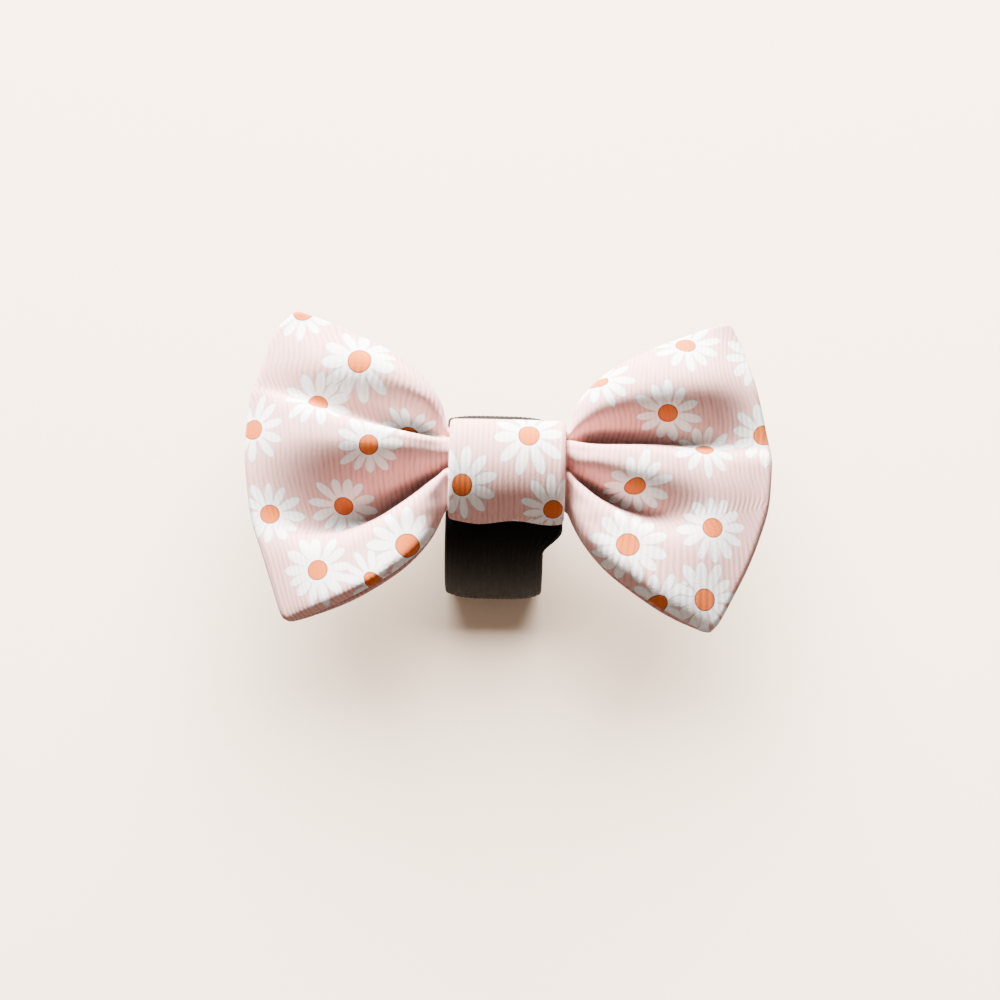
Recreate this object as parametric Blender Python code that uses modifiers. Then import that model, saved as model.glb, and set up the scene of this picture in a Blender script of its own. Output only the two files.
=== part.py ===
"""A slip-on pet bow tie, lying face up on its elastic loop.

Units are metres. +X runs along the bow, +Y to its upper edge and +Z out of its face. The origin is
on the surface that it lies on, under the middle of the bow.
"""

import math
from collections import namedtuple

import bmesh
import bpy
from mathutils import Vector

# The bow
BOW_LENGTH = 0.100
BOW_HEIGHT = 0.059
WING_DEPTH = 0.0160
FABRIC_WALL = 0.0010
END_FOLD_RADIUS = 0.0008
WAIST_HEIGHT = 0.0147
WAIST_DEPTH = 0.0082

# The centre band
BAND_WIDTH = 0.0219
BAND_WALL = 0.0015
BAND_CROWN = 0.0004
BAND_ROUNDING = 3.0

# The elastic loop
ELASTIC_WIDTH = 0.019
ELASTIC_WALL = 0.0013
LOOP_HEIGHT = 0.026
LOOP_FOOT_LENGTH = 0.016
LOOP_FOOT_SHIFT = 0.0038
LOOP_BELOW = 0.0209
LOOP_ABOVE = 0.0127
ELASTIC_CURL = 0.0010
ELASTIC_SHIFT = 0.0022
FLARE_LENGTH = 0.006

# The space left between pieces that touch
PIECE_GAP = 0.0003

# Mesh fineness
CORNER_STEPS = 4
END_FOLD_STEPS = 4
BAND_STEPS = 44
BAND_COLUMNS = 6
LOOP_RUN_STEPS = 5
LOOP_SIDE_STEPS = 14
ELASTIC_COLUMNS = 8
SHARP_ANGLE = math.radians(50)

# Where along a wing the fold tables are read, as shares of the way from the band to the end fold
FOLD_STATIONS = (0.0, 0.14, 0.38, 0.72, 1.0)
FRONT_STATIONS = (0.0, 0.02, 0.05, 0.10, 0.17, 0.26, 0.37, 0.49, 0.61, 0.73, 0.84, 0.94, 1.0)
BACK_STATIONS = (0.0, 0.03, 0.08, 0.17, 0.30, 0.46, 0.63, 0.80, 0.93, 1.0)

# The lines that the strip is folded along, from its upper edge to its lower edge.
# In the waist, height is a share of half the waist's height, and front and back are shares of
# half its depth.
Waist = namedtuple("Waist", "line height front back")
WAIST = (
    Waist("upper_edge", 0.95, -0.10, -0.95),
    Waist("shoulder", 0.93, 0.30, -1.00),
    Waist("upper_crest", 0.85, 0.62, -1.00),
    Waist("upper_valley", 0.68, 0.56, -0.95),
    Waist("middle_crest", 0.50, 0.92, -1.00),
    Waist("lower_valley", 0.00, 0.10, -0.85),
    Waist("lower_crest", -0.12, 1.00, -1.00),
    Waist("skirt", -0.62, 0.65, -0.90),
    Waist("lower_edge", -0.95, -0.10, -0.95),
)

# In a wing, height is a share of half the bow's height at the end fold, reach a share of half its
# length, fan the power by which the line spreads from the waist, and sag how far it dips on the
# way. Near, mid, far and tip are how high the front stands, as shares of half the wing's depth.
Fold = namedtuple("Fold", "line height reach fan sag near mid far tip")
RIGHT_WING = (
    Fold("upper_edge", 0.985, 0.840, 0.43, 0.00, 0.16, 0.21, 0.17, 0.00),
    Fold("shoulder", 0.88, 0.875, 0.42, 0.00, 0.48, 0.62, 0.42, 0.00),
    Fold("upper_crest", 0.72, 0.905, 0.42, 0.00, 0.84, 0.98, 0.60, 0.04),
    Fold("upper_valley", 0.36, 0.976, 1.20, 0.00, 0.14, 0.10, 0.18, -0.05),
    Fold("middle_crest", 0.12, 1.000, 0.90, -0.02, 0.76, 0.84, 0.54, 0.05),
    Fold("lower_valley", -0.08, 0.998, 0.60, -0.10, -0.08, 0.13, 0.24, -0.04),
    Fold("lower_crest", -0.30, 0.982, 0.60, -0.06, 0.74, 0.80, 0.56, 0.05),
    Fold("skirt", -0.68, 0.888, 0.50, 0.00, 0.50, 0.64, 0.42, 0.00),
    Fold("lower_edge", -1.000, 0.775, 0.42, 0.00, -0.06, 0.12, 0.15, 0.00),
)
LEFT_WING = (
    Fold("upper_edge", 1.000, 0.810, 0.43, 0.00, 0.16, 0.21, 0.17, 0.00),
    Fold("shoulder", 0.88, 0.900, 0.42, 0.00, 0.48, 0.52, 0.38, 0.00),
    Fold("upper_crest", 0.60, 0.952, 0.42, 0.00, 0.80, 0.76, 0.54, 0.02),
    Fold("upper_valley", 0.34, 0.992, 1.20, 0.00, 0.18, 0.72, 0.58, 0.02),
    Fold("middle_crest", 0.12, 1.000, 0.90, 0.00, 0.76, 0.92, 0.62, 0.04),
    Fold("lower_valley", -0.32, 0.964, 0.90, -0.10, -0.08, 0.20, 0.26, -0.05),
    Fold("lower_crest", -0.48, 0.945, 0.85, -0.06, 0.74, 0.72, 0.50, 0.04),
    Fold("skirt", -0.75, 0.895, 0.55, 0.00, 0.50, 0.56, 0.38, 0.00),
    Fold("lower_edge", -0.985, 0.805, 0.45, 0.00, -0.06, 0.12, 0.15, 0.00),
)

# How far the back of either wing stands behind the middle, as shares of half the wing's depth
Back = namedtuple("Back", "line near mid far")
BACK = (
    Back("upper_edge", -0.22, -0.25, -0.20),
    Back("shoulder", -0.48, -0.60, -0.44),
    Back("upper_crest", -0.70, -0.86, -0.60),
    Back("upper_valley", -0.50, -0.68, -0.52),
    Back("middle_crest", -0.72, -0.94, -0.66),
    Back("lower_valley", -0.50, -0.70, -0.52),
    Back("lower_crest", -0.72, -0.92, -0.62),
    Back("skirt", -0.54, -0.64, -0.46),
    Back("lower_edge", -0.27, -0.27, -0.21),
)

# Sizes that follow from the ones above
WAIST_HALF_HEIGHT = WAIST_HEIGHT / 2
WAIST_HALF_DEPTH = WAIST_DEPTH / 2
WAIST_CLEARANCE = FABRIC_WALL / 2 + PIECE_GAP
BAND_MID_HALF_HEIGHT = WAIST_HALF_HEIGHT + WAIST_CLEARANCE + BAND_WALL / 2
BAND_MID_HALF_DEPTH = WAIST_HALF_DEPTH + WAIST_CLEARANCE + BAND_WALL / 2
BAND_HALF_HEIGHT = BAND_MID_HALF_HEIGHT + BAND_WALL / 2
BAND_HALF_DEPTH = BAND_MID_HALF_DEPTH + BAND_WALL / 2
WING_ROOT = BAND_WIDTH / 2 + WAIST_CLEARANCE
BOW_MIDDLE = LOOP_HEIGHT + PIECE_GAP + BAND_HALF_DEPTH + BAND_CROWN
LOOP_TOP = LOOP_HEIGHT - ELASTIC_WALL / 2
LOOP_BOTTOM = ELASTIC_WALL / 2

# sRGB colours of the real materials
FABRIC_COLOUR = "E9CFCB"
ELASTIC_COLOUR = "17130F"


def clear_scene():
    for obj in list(bpy.data.objects):
        bpy.data.objects.remove(obj, do_unlink=True)


def linear_colour(hex_text):
    """An sRGB hex colour as the linear RGBA that shaders take."""
    channels = []
    for start in (0, 2, 4):
        value = int(hex_text[start:start + 2], 16) / 255
        channels.append(value / 12.92 if value <= 0.04045 else ((value + 0.055) / 1.055) ** 2.4)
    return (*channels, 1.0)


def make_material(name, hex_text, roughness):
    material = bpy.data.materials.new(name)
    material.use_nodes = True
    shader = material.node_tree.nodes["Principled BSDF"]
    shader.inputs["Base Color"].default_value = linear_colour(hex_text)
    shader.inputs["Roughness"].default_value = roughness
    shader.inputs["Metallic"].default_value = 0.0
    return material


def curve_through(stations, values, at):
    """A smooth curve through values at rising stations, read at one place."""
    last = len(stations) - 1
    span = 0
    while span < last - 1 and at > stations[span + 1]:
        span += 1

    def slope(index):
        low = max(index - 1, 0)
        high = min(index + 1, last)
        return (values[high] - values[low]) / (stations[high] - stations[low])

    width = stations[span + 1] - stations[span]
    t = (at - stations[span]) / width
    start_share = (1 + 2 * t) * (1 - t) ** 2
    end_share = t * t * (3 - 2 * t)
    return (start_share * values[span] + end_share * values[span + 1]
            + width * t * (1 - t) * ((1 - t) * slope(span) - t * slope(span + 1)))


def rounded(corners, steps, reach=0.48):
    """A line through corner points with each inner corner turned into an arc."""
    points = [corners[0]]
    for before, corner, after in zip(corners, corners[1:], corners[2:]):
        leg_in = before - corner
        leg_out = after - corner
        length = reach * min(leg_in.length, leg_out.length)
        start = corner + leg_in.normalized() * length
        end = corner + leg_out.normalized() * length
        turn = -leg_in.normalized().dot(leg_out.normalized())
        weight = math.sqrt(max(0.0, (1 + turn) / 2))
        for step in range(steps + 1):
            t = step / steps
            shares = ((1 - t) ** 2, 2 * t * (1 - t) * weight, t * t)
            points.append((start * shares[0] + corner * shares[1] + end * shares[2]) / sum(shares))
    points.append(corners[-1])
    return points


def superellipse_rim(share, power):
    """How wide an oval is at a share of its height, as a share of its middle width."""
    return max(0.0, 1 - abs(share) ** power) ** (1 / power)


def waist_height(row):
    return row.height * WAIST_HALF_HEIGHT


def waist_rise(row, share):
    """The waist fills the oval that the band leaves for it."""
    return share * WAIST_HALF_DEPTH * superellipse_rim(row.height, BAND_ROUNDING)


def wing_corner(side, waist, fold, back, at, is_front):
    """One folded line of a wing, at a share of the way from the band to the end fold."""
    half_depth = WING_DEPTH / 2 - FABRIC_WALL / 2
    end_centre = fold.reach * BOW_LENGTH / 2 - FABRIC_WALL / 2 - END_FOLD_RADIUS
    x = WING_ROOT + (end_centre - WING_ROOT) * at
    root_y = waist_height(waist)
    end_y = fold.height * BOW_HEIGHT / 2
    y = root_y + (end_y - root_y) * at ** fold.fan + fold.sag * BOW_HEIGHT / 2 * math.sin(math.pi * at)
    if is_front:
        rises = (waist_rise(waist, waist.front), fold.near * half_depth, fold.mid * half_depth,
                 fold.far * half_depth, fold.tip * half_depth + END_FOLD_RADIUS)
    else:
        rises = (waist_rise(waist, waist.back), back.near * half_depth, back.mid * half_depth,
                 back.far * half_depth, fold.tip * half_depth - END_FOLD_RADIUS)
    return Vector((side * x, y, curve_through(FOLD_STATIONS, rises, at)))


def wing_sections(side, folds):
    """The sections of one wing: out along the front, round the end fold, in along the back."""
    rows = list(zip(WAIST, folds, BACK))
    sections = []
    for at in FRONT_STATIONS:
        sections.append([wing_corner(side, *row, at, True) for row in rows])
    for step in range(1, END_FOLD_STEPS):
        angle = math.pi * step / END_FOLD_STEPS
        section = []
        for row in rows:
            front = wing_corner(side, *row, 1.0, True)
            out = Vector((side * math.sin(angle), 0, math.cos(angle) - 1)) * END_FOLD_RADIUS
            section.append(front + out)
        sections.append(section)
    for at in reversed(BACK_STATIONS):
        sections.append([wing_corner(side, *row, at, False) for row in rows])
    return sections


def waist_section(is_front):
    points = []
    for row in WAIST:
        points.append(Vector((0, waist_height(row), waist_rise(row, row.front if is_front else row.back))))
    return points


def loft_ring(name, sections, material):
    """A sheet of quads through sections that have as many points each, closed into a ring."""
    mesh = bmesh.new()
    rows = [[mesh.verts.new(point) for point in section] for section in sections]
    for first, second in zip(rows, rows[1:] + rows[:1]):
        for index in range(len(first) - 1):
            mesh.faces.new((first[index], first[index + 1], second[index + 1], second[index]))
    bmesh.ops.recalc_face_normals(mesh, faces=mesh.faces)
    data = bpy.data.meshes.new(name)
    mesh.to_mesh(data)
    mesh.free()
    data.materials.append(material)
    return bpy.data.objects.new(name, data)


def thicken(obj, wall):
    """Give an open sheet its wall, half to each side."""
    modifier = obj.modifiers.new("wall", "SOLIDIFY")
    modifier.thickness = wall
    modifier.offset = 0.0
    obj.data.shade_smooth()
    obj.data.set_sharp_from_angle(angle=SHARP_ANGLE)


def make_bow(material):
    """One strip folded into two hollow wings that meet in the waist."""
    left = wing_sections(-1, LEFT_WING)
    left.reverse()
    corners = [waist_section(True), *wing_sections(1, RIGHT_WING), waist_section(False), *left]
    sections = [rounded(row, CORNER_STEPS) for row in corners]
    obj = loft_ring("bow", sections, material)
    thicken(obj, FABRIC_WALL)
    return obj


def band_point(angle, half_height, half_depth):
    """A point on the band's oval, whose sides are flatter than an ellipse's."""
    power = 2 / BAND_ROUNDING
    y = math.copysign(abs(math.cos(angle)) ** power, math.cos(angle)) * half_height
    z = math.copysign(abs(math.sin(angle)) ** power, math.sin(angle)) * half_depth
    return y, z


def make_centre_band(material):
    """A ring round the waist, a little fuller along its middle."""
    sections = []
    for column in range(BAND_COLUMNS + 1):
        across = 2 * column / BAND_COLUMNS - 1
        crown = BAND_CROWN * (1 - across * across)
        section = []
        for step in range(BAND_STEPS):
            y, z = band_point(2 * math.pi * (step + 0.5) / BAND_STEPS,
                              BAND_MID_HALF_HEIGHT + crown, BAND_MID_HALF_DEPTH + crown)
            section.append(Vector((across * BAND_WIDTH / 2, y, z)))
        sections.append(section)
    rings = [list(ring) for ring in zip(*sections)]
    obj = loft_ring("centre_band", rings, material)
    thicken(obj, BAND_WALL)
    return obj


def side_run(start, end, bulge, steps):
    """One side of the loop, from its seat to its foot: points with how far round the side each is."""
    handle = (bulge - (start.x + end.x) / 2) * 4 / 3
    points = []
    for step in range(1, steps):
        t = step / steps
        y = ((1 - t) ** 3 * start.x + 3 * t * (1 - t) ** 2 * (start.x + handle)
             + 3 * t * t * (1 - t) * (end.x + handle) + t ** 3 * end.x)
        z = start.y + (end.y - start.y) * t * t * (3 - 2 * t)
        points.append((Vector((y, z)), math.sin(math.pi * t)))
    return points


def flat_run(start, end, steps):
    return [(start.lerp(end, step / steps), 0.0) for step in range(steps + 1)]


def loop_outline():
    """The loop seen along X, round the middle of its wall."""
    seat_upper = Vector((BAND_HALF_HEIGHT, LOOP_TOP))
    seat_lower = Vector((-BAND_HALF_HEIGHT, LOOP_TOP))
    foot_upper = Vector((LOOP_FOOT_LENGTH / 2 - LOOP_FOOT_SHIFT, LOOP_BOTTOM))
    foot_lower = Vector((-LOOP_FOOT_LENGTH / 2 - LOOP_FOOT_SHIFT, LOOP_BOTTOM))
    above = LOOP_ABOVE - ELASTIC_WALL / 2
    below = ELASTIC_WALL / 2 - LOOP_BELOW
    return (flat_run(seat_lower, seat_upper, LOOP_RUN_STEPS)
            + side_run(seat_upper, foot_upper, above, LOOP_SIDE_STEPS)
            + flat_run(foot_upper, foot_lower, LOOP_RUN_STEPS)
            + side_run(seat_lower, foot_lower, below, LOOP_SIDE_STEPS)[::-1])


def flare_at(point):
    """How far the elastic's right edge is pulled out, near the band's lower edge."""
    most = BAND_WIDTH / 2 - (ELASTIC_WIDTH / 2 - ELASTIC_SHIFT)
    away = (point - Vector((-BAND_HALF_HEIGHT, LOOP_TOP))).length / FLARE_LENGTH
    if away >= 1:
        return 0.0
    return most * (1 - away * away) ** 2


def make_elastic_loop(material):
    """A flat elastic closed into a loop, its seat under the band and its foot on the surface."""
    middle = Vector((-LOOP_FOOT_SHIFT, LOOP_HEIGHT / 2))
    rings = []
    for point, side_share in loop_outline():
        inwards = (middle - point).normalized()
        ring = []
        for column in range(ELASTIC_COLUMNS + 1):
            across = 2 * column / ELASTIC_COLUMNS - 1
            x = across * ELASTIC_WIDTH / 2 + flare_at(point) * max(0.0, across) ** 2
            curled = point + inwards * ELASTIC_CURL * side_share * across ** 4
            ring.append(Vector((x, curled.x, curled.y)))
        rings.append(ring)
    obj = loft_ring("elastic_loop", rings, material)
    thicken(obj, ELASTIC_WALL)
    obj.location = (-ELASTIC_SHIFT, 0, 0)
    return obj


def build():
    clear_scene()
    collection = bpy.data.collections.new("pet_bow_tie")
    bpy.context.scene.collection.children.link(collection)
    carrier = bpy.data.objects.new("pet_bow_tie", None)
    collection.objects.link(carrier)

    bow = make_bow(make_material("bow_fabric", FABRIC_COLOUR, 0.85))
    bow.location = (0, 0, BOW_MIDDLE)
    band = make_centre_band(make_material("band_fabric", FABRIC_COLOUR, 0.85))
    band.location = (0, 0, BOW_MIDDLE)
    elastic = make_elastic_loop(make_material("black_elastic", ELASTIC_COLOUR, 0.7))
    for obj in (bow, band, elastic):
        collection.objects.link(obj)
        obj.parent = carrier


build()
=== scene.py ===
# %% [markdown]
# # A slip-on pet bow tie
# The real object is a strip of printed, ribbed cotton folded into two hollow wings, a band of the
# same cotton round its waist, and a black elastic loop behind it for a pet's collar. The solid
# parts give the places and the sizes. Here each of them gets a finer skin, and the skins get
# their cloth. Everything is in metres, with +X along the bow, +Y to its upper edge and +Z out of
# its face.

# %% Load the solid parts
import math
from collections import namedtuple

import bpy
import numpy as np
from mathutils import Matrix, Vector, noise
from mathutils.bvhtree import BVHTree


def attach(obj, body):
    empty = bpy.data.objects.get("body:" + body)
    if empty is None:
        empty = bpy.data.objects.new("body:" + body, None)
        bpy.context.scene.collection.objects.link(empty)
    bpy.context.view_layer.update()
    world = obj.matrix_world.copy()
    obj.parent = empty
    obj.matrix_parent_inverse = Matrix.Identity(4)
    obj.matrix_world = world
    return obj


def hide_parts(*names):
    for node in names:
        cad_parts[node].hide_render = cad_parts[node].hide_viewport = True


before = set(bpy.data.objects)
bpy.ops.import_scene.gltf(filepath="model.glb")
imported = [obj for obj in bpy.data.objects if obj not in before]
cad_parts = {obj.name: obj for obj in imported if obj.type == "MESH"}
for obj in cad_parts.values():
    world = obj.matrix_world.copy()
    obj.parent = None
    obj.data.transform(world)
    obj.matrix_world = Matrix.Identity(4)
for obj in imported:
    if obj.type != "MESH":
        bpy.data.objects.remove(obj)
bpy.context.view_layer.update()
MM = 0.001

# %% [markdown]
# ## Helpers for colours, nodes and objects
# Colours are picked as sRGB hex values, the way a swatch gives them, and shaders want linear
# light, so one function converts them. Another adds a node. It takes the node's inputs in their
# order or by name, and each of them may be a plain value, a socket or another node. Most nodes do
# sums, so a kind in capitals is the operation of a Math node, and a chain is one sum after another.
# The shader that a material comes with is fed in the same way. The last function puts an object
# into the scene.

# %% Colours, nodes and objects
VECTOR_MATH = "ShaderNodeVectorMath"
MAP_RANGE = "ShaderNodeMapRange"


def linear(hex_text):
    channels = []
    for start in (0, 2, 4):
        value = int(hex_text[start:start + 2], 16) / 255
        channels.append(value / 12.92 if value <= 0.04045 else ((value + 0.055) / 1.055) ** 2.4)
    return (*channels, 1.0)


def feed(tree, node, links):
    """Give a node's inputs their values and links."""
    for key, value in links.items():
        if isinstance(value, bpy.types.Node):
            value = value.outputs[0]
        if isinstance(value, bpy.types.NodeSocket):
            tree.links.new(value, node.inputs[key])
        else:
            node.inputs[key].default_value = value


def add(tree, kind, *inputs, **settings):
    """A new node. Its inputs come in their order, or as one dict by name or number."""
    if kind.isupper():
        settings["operation"] = kind
        kind = "ShaderNodeMath"
    made = tree.nodes.new(kind)
    for name, value in settings.items():
        setattr(made, name, value)
    by_name = inputs and isinstance(inputs[0], dict)
    feed(tree, made, inputs[0] if by_name else dict(enumerate(inputs)))
    return made


def chain(tree, value, *steps):
    """Sums in a row. Each step is an operation and the input beside the value so far."""
    for operation, operand in steps:
        value = add(tree, operation, value, operand)
    return value


def mixed(tree, share, first, second, **settings):
    """A colour between two, by how much of the second it takes."""
    made = add(tree, "ShaderNodeMix", {0: share, 6: first, 7: second}, data_type="RGBA", **settings)
    return made.outputs[2]


def placed(name, data):
    """A new object of the scene."""
    made = bpy.data.objects.new(name, data)
    bpy.context.scene.collection.objects.link(made)
    return made


print("linear mid grey:", [round(channel, 3) for channel in linear("808080")])

# %% [markdown]
# ## The camera
# The photo looks almost straight down on the bow from a little below its lower edge. The camera
# is made first, because the printed daisies are placed later by following its rays to the cloth.

# %% Camera
PICTURE_SIDE = 1000
FOCAL_PIXELS = 2600
SENSOR_WIDTH = 36.0
CAMERA_AZIMUTH = math.radians(1.4)
CAMERA_ELEVATION = math.radians(79)
CAMERA_DISTANCE = 0.491
CAMERA_TARGET = Vector((-0.0012, -0.0056, 0.0331))
CAMERA_NEAR = 0.01

back = Vector((
    math.sin(CAMERA_AZIMUTH) * math.cos(CAMERA_ELEVATION),
    -math.cos(CAMERA_AZIMUTH) * math.cos(CAMERA_ELEVATION),
    math.sin(CAMERA_ELEVATION),
))
camera_turn = (-back).to_track_quat("-Z", "Y")
camera_place = CAMERA_TARGET + back * CAMERA_DISTANCE
camera_data = bpy.data.cameras.new("camera")
camera_data.sensor_width = SENSOR_WIDTH
camera_data.lens = FOCAL_PIXELS / PICTURE_SIDE * SENSOR_WIDTH
camera_data.clip_start = CAMERA_NEAR
camera = placed("camera", camera_data)
camera.location = camera_place
camera.rotation_mode = "QUATERNION"
camera.rotation_quaternion = camera_turn
bpy.context.scene.camera = camera


def ray_through(across, down):
    """The direction from the camera through one pixel of the photo."""
    middle = PICTURE_SIDE / 2
    return camera_turn @ Vector(((across - middle) / FOCAL_PIXELS, (middle - down) / FOCAL_PIXELS, -1))


print("lens:", round(camera_data.lens, 1), "mm")

# %% [markdown]
# ## The bow's fold lines
# A bow like this is a strip pinched at its waist, so each fold runs as a line from the waist out to
# the wing's end. The table gives those lines, from the strip's upper edge to its lower edge. A
# valley is a fold that goes in and a crest one that stands out. Where a valley lies close above a
# crest, the cloth between them is a steep little wall, and that is the crisp fold the photo shows.

# %% Sizes and fold lines
BOW_LENGTH = 0.100
BOW_HEIGHT = 0.059
WING_DEPTH = 0.0160
FABRIC_WALL = 0.0010
END_FOLD_RADIUS = 0.0008
WAIST_HEIGHT = 0.0147
WAIST_DEPTH = 0.0082
BAND_WIDTH = 0.0219
BAND_WALL = 0.0015
BAND_CROWN = 0.0004
BAND_SWELL = 0.00012
# The power of the waist's oval, where 2 is an ellipse
BAND_ROUNDING = 2.05
PIECE_GAP = 0.0003
LOOP_HEIGHT = 0.026

WAIST_HALF_HEIGHT = WAIST_HEIGHT / 2
WAIST_HALF_DEPTH = WAIST_DEPTH / 2
WAIST_CLEARANCE = FABRIC_WALL / 2 + PIECE_GAP
BAND_MID_HALF_HEIGHT = WAIST_HALF_HEIGHT + WAIST_CLEARANCE + BAND_WALL / 2
BAND_MID_HALF_DEPTH = WAIST_HALF_DEPTH + WAIST_CLEARANCE + BAND_WALL / 2
BAND_HALF_HEIGHT = BAND_MID_HALF_HEIGHT + BAND_WALL / 2
BAND_HALF_DEPTH = BAND_MID_HALF_DEPTH + BAND_WALL / 2
WING_ROOT = BAND_WIDTH / 2 + WAIST_CLEARANCE
BOW_MIDDLE = LOOP_HEIGHT + PIECE_GAP + BAND_HALF_DEPTH + BAND_CROWN

FOLD_STATIONS = (0.0, 0.14, 0.38, 0.72, 1.0)

# Height, front and back are shares of the waist's half height and half depth. Soft is how much of
# the cloth beside the line its rounding takes, up to a half.
Waist = namedtuple("Waist", "line height front back soft")
WAIST = (
    Waist("upper_edge", 0.96, -0.10, -0.95, 0.48),
    Waist("shoulder", 0.95, 0.30, -1.00, 0.48),
    Waist("upper_crest", 0.92, 0.62, -1.00, 0.48),
    Waist("upper_valley", 0.84, 0.10, -0.95, 0.26),
    Waist("middle_crest", 0.76, 0.96, -1.00, 0.26),
    Waist("middle_skirt", 0.40, 0.94, -0.95, 0.48),
    Waist("lower_valley", 0.10, 0.05, -0.85, 0.26),
    Waist("lower_crest", 0.00, 1.00, -1.00, 0.26),
    Waist("skirt", -0.68, 0.80, -0.90, 0.48),
    Waist("lower_edge", -0.95, -0.10, -0.95, 0.48),
)

# Height is a share of half the bow's height at the wing's end, reach a share of half its length,
# fan the power by which the line spreads from the waist, and sag its dip on the way. Near, mid, far
# and tip are how high the cloth stands, as shares of half the wing's depth.
Fold = namedtuple("Fold", "line height reach fan sag near mid far tip")
RIGHT_WING = (
    Fold("upper_edge", 0.985, 0.840, 0.43, 0.00, 0.16, 0.21, 0.17, 0.00),
    Fold("shoulder", 0.86, 0.878, 0.42, 0.00, 0.52, 0.70, 0.54, 0.00),
    Fold("upper_crest", 0.62, 0.930, 0.50, 0.00, 0.88, 1.00, 0.94, 0.16),
    Fold("upper_valley", 0.18, 0.993, 0.90, 0.00, -0.36, -0.14, -0.04, -0.09),
    Fold("middle_crest", 0.11, 0.998, 0.90, -0.02, 0.74, 0.76, 0.54, 0.05),
    Fold("middle_skirt", -0.06, 0.992, 0.60, -0.04, 0.80, 0.88, 0.62, 0.06),
    Fold("lower_valley", -0.22, 0.982, 0.48, -0.14, -0.44, 0.00, 0.44, 0.05),
    Fold("lower_crest", -0.56, 0.922, 0.75, -0.08, 0.72, 0.66, 0.56, 0.10),
    Fold("skirt", -0.955, 0.802, 0.55, 0.00, 0.64, 0.80, 0.60, 0.12),
    Fold("lower_edge", -1.000, 0.775, 0.585, -0.03, 0.14, 0.42, 0.42, 0.06),
)
LEFT_WING = (
    Fold("upper_edge", 1.000, 0.826, 0.43, 0.00, 0.16, 0.21, 0.17, 0.00),
    Fold("shoulder", 0.88, 0.902, 0.42, 0.00, 0.64, 0.80, 0.54, 0.00),
    Fold("upper_crest", 0.70, 0.932, 0.42, 0.00, 0.72, 0.82, 0.66, 0.04),
    Fold("upper_valley", 0.51, 0.966, 1.35, -0.02, -0.26, 0.16, 0.24, 0.00),
    Fold("middle_crest", 0.46, 0.978, 1.50, -0.02, 0.76, 0.90, 0.72, 0.04),
    Fold("middle_skirt", 0.14, 0.998, 0.80, -0.01, 0.74, 0.92, 0.80, 0.06),
    Fold("lower_valley", -0.35, 0.960, 0.60, -0.160, -0.50, -0.46, -0.05, -0.06),
    Fold("lower_crest", -0.55, 0.914, 0.90, -0.145, 0.74, 0.64, 0.50, 0.04),
    Fold("skirt", -0.972, 0.828, 0.50, -0.030, 0.68, 0.82, 0.64, 0.00),
    Fold("lower_edge", -0.990, 0.805, 0.52, -0.034, 0.46, 0.68, 0.50, 0.00),
)

# How far the back of either wing stands behind the middle, in the same shares
Back = namedtuple("Back", "line near mid far")
BACK = (
    Back("upper_edge", -0.22, -0.25, -0.20),
    Back("shoulder", -0.48, -0.60, -0.44),
    Back("upper_crest", -0.70, -0.86, -0.60),
    Back("upper_valley", -0.58, -0.70, -0.52),
    Back("middle_crest", -0.72, -0.94, -0.66),
    Back("middle_skirt", -0.66, -0.84, -0.60),
    Back("lower_valley", -0.76, -0.82, -0.56),
    Back("lower_crest", -0.72, -0.92, -0.62),
    Back("skirt", -0.54, -0.64, -0.46),
    Back("lower_edge", -0.10, -0.04, -0.10),
)
print("fold lines:", [row.line for row in WAIST])

# %% [markdown]
# ## From fold lines to a grid of cloth
# Each cross-section of a wing is a line through its folds with the corners rounded off. Sections
# are taken out along the front, round the end fold and back in, for both wings, which closes the
# strip into one ring. Every section gets as many points between two folds, so the grid's columns
# run along the folds, and cloth lengths can be measured along its rows and columns. The folds are
# crisp near the band and soft further out. The waist is tipped towards the lower edge, because the
# band's lower half lies in shade. On the front a fold may lap over the next one, and on the back
# the lines are kept apart.

# %% Sections of the strip
WING_COLUMNS = (9, 9, 15, 10, 12, 12, 12, 17, 12)
FRONT_STEPS = 104
BACK_STEPS = 52
TURN_STEPS = 8
WAIST_STEPS = 28
CORNER_STEPS = 8
# Past this share of the way out, each fold's rounding grows to fully soft
FULLY_SOFT = 0.48
SOFTENING_START = 0.36
SOFTENING_RUN = 0.42
# What evening the cloth out takes off a wing's length
EVENING_LOSS = 0.00035
LEAST_STEP = 0.0006
WAIST_TIP = math.radians(12)


def curve_through(stations, values, at):
    """A smooth curve through values at rising stations, read at one place."""
    last = len(stations) - 1
    span = 0
    while span < last - 1 and at > stations[span + 1]:
        span += 1

    def slope(index):
        low = max(index - 1, 0)
        high = min(index + 1, last)
        return (values[high] - values[low]) / (stations[high] - stations[low])

    width = stations[span + 1] - stations[span]
    t = (at - stations[span]) / width
    start_share = (1 + 2 * t) * (1 - t) ** 2
    end_share = t * t * (3 - 2 * t)
    return (start_share * values[span] + end_share * values[span + 1]
            + width * t * (1 - t) * ((1 - t) * slope(span) - t * slope(span + 1)))


def tipped(y, z):
    """A point of the waist, once the waist has tipped towards the lower edge."""
    return (y * math.cos(WAIST_TIP) - z * math.sin(WAIST_TIP),
            y * math.sin(WAIST_TIP) + z * math.cos(WAIST_TIP))


def waist_place(row, is_front):
    """Where a fold line starts at the waist: a share of the way out to the oval's rim."""
    rim = max(0.0, 1 - abs(row.height) ** BAND_ROUNDING) ** (1 / BAND_ROUNDING)
    share = row.front if is_front else row.back
    return tipped(row.height * WAIST_HALF_HEIGHT, share * WAIST_HALF_DEPTH * rim)


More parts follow.
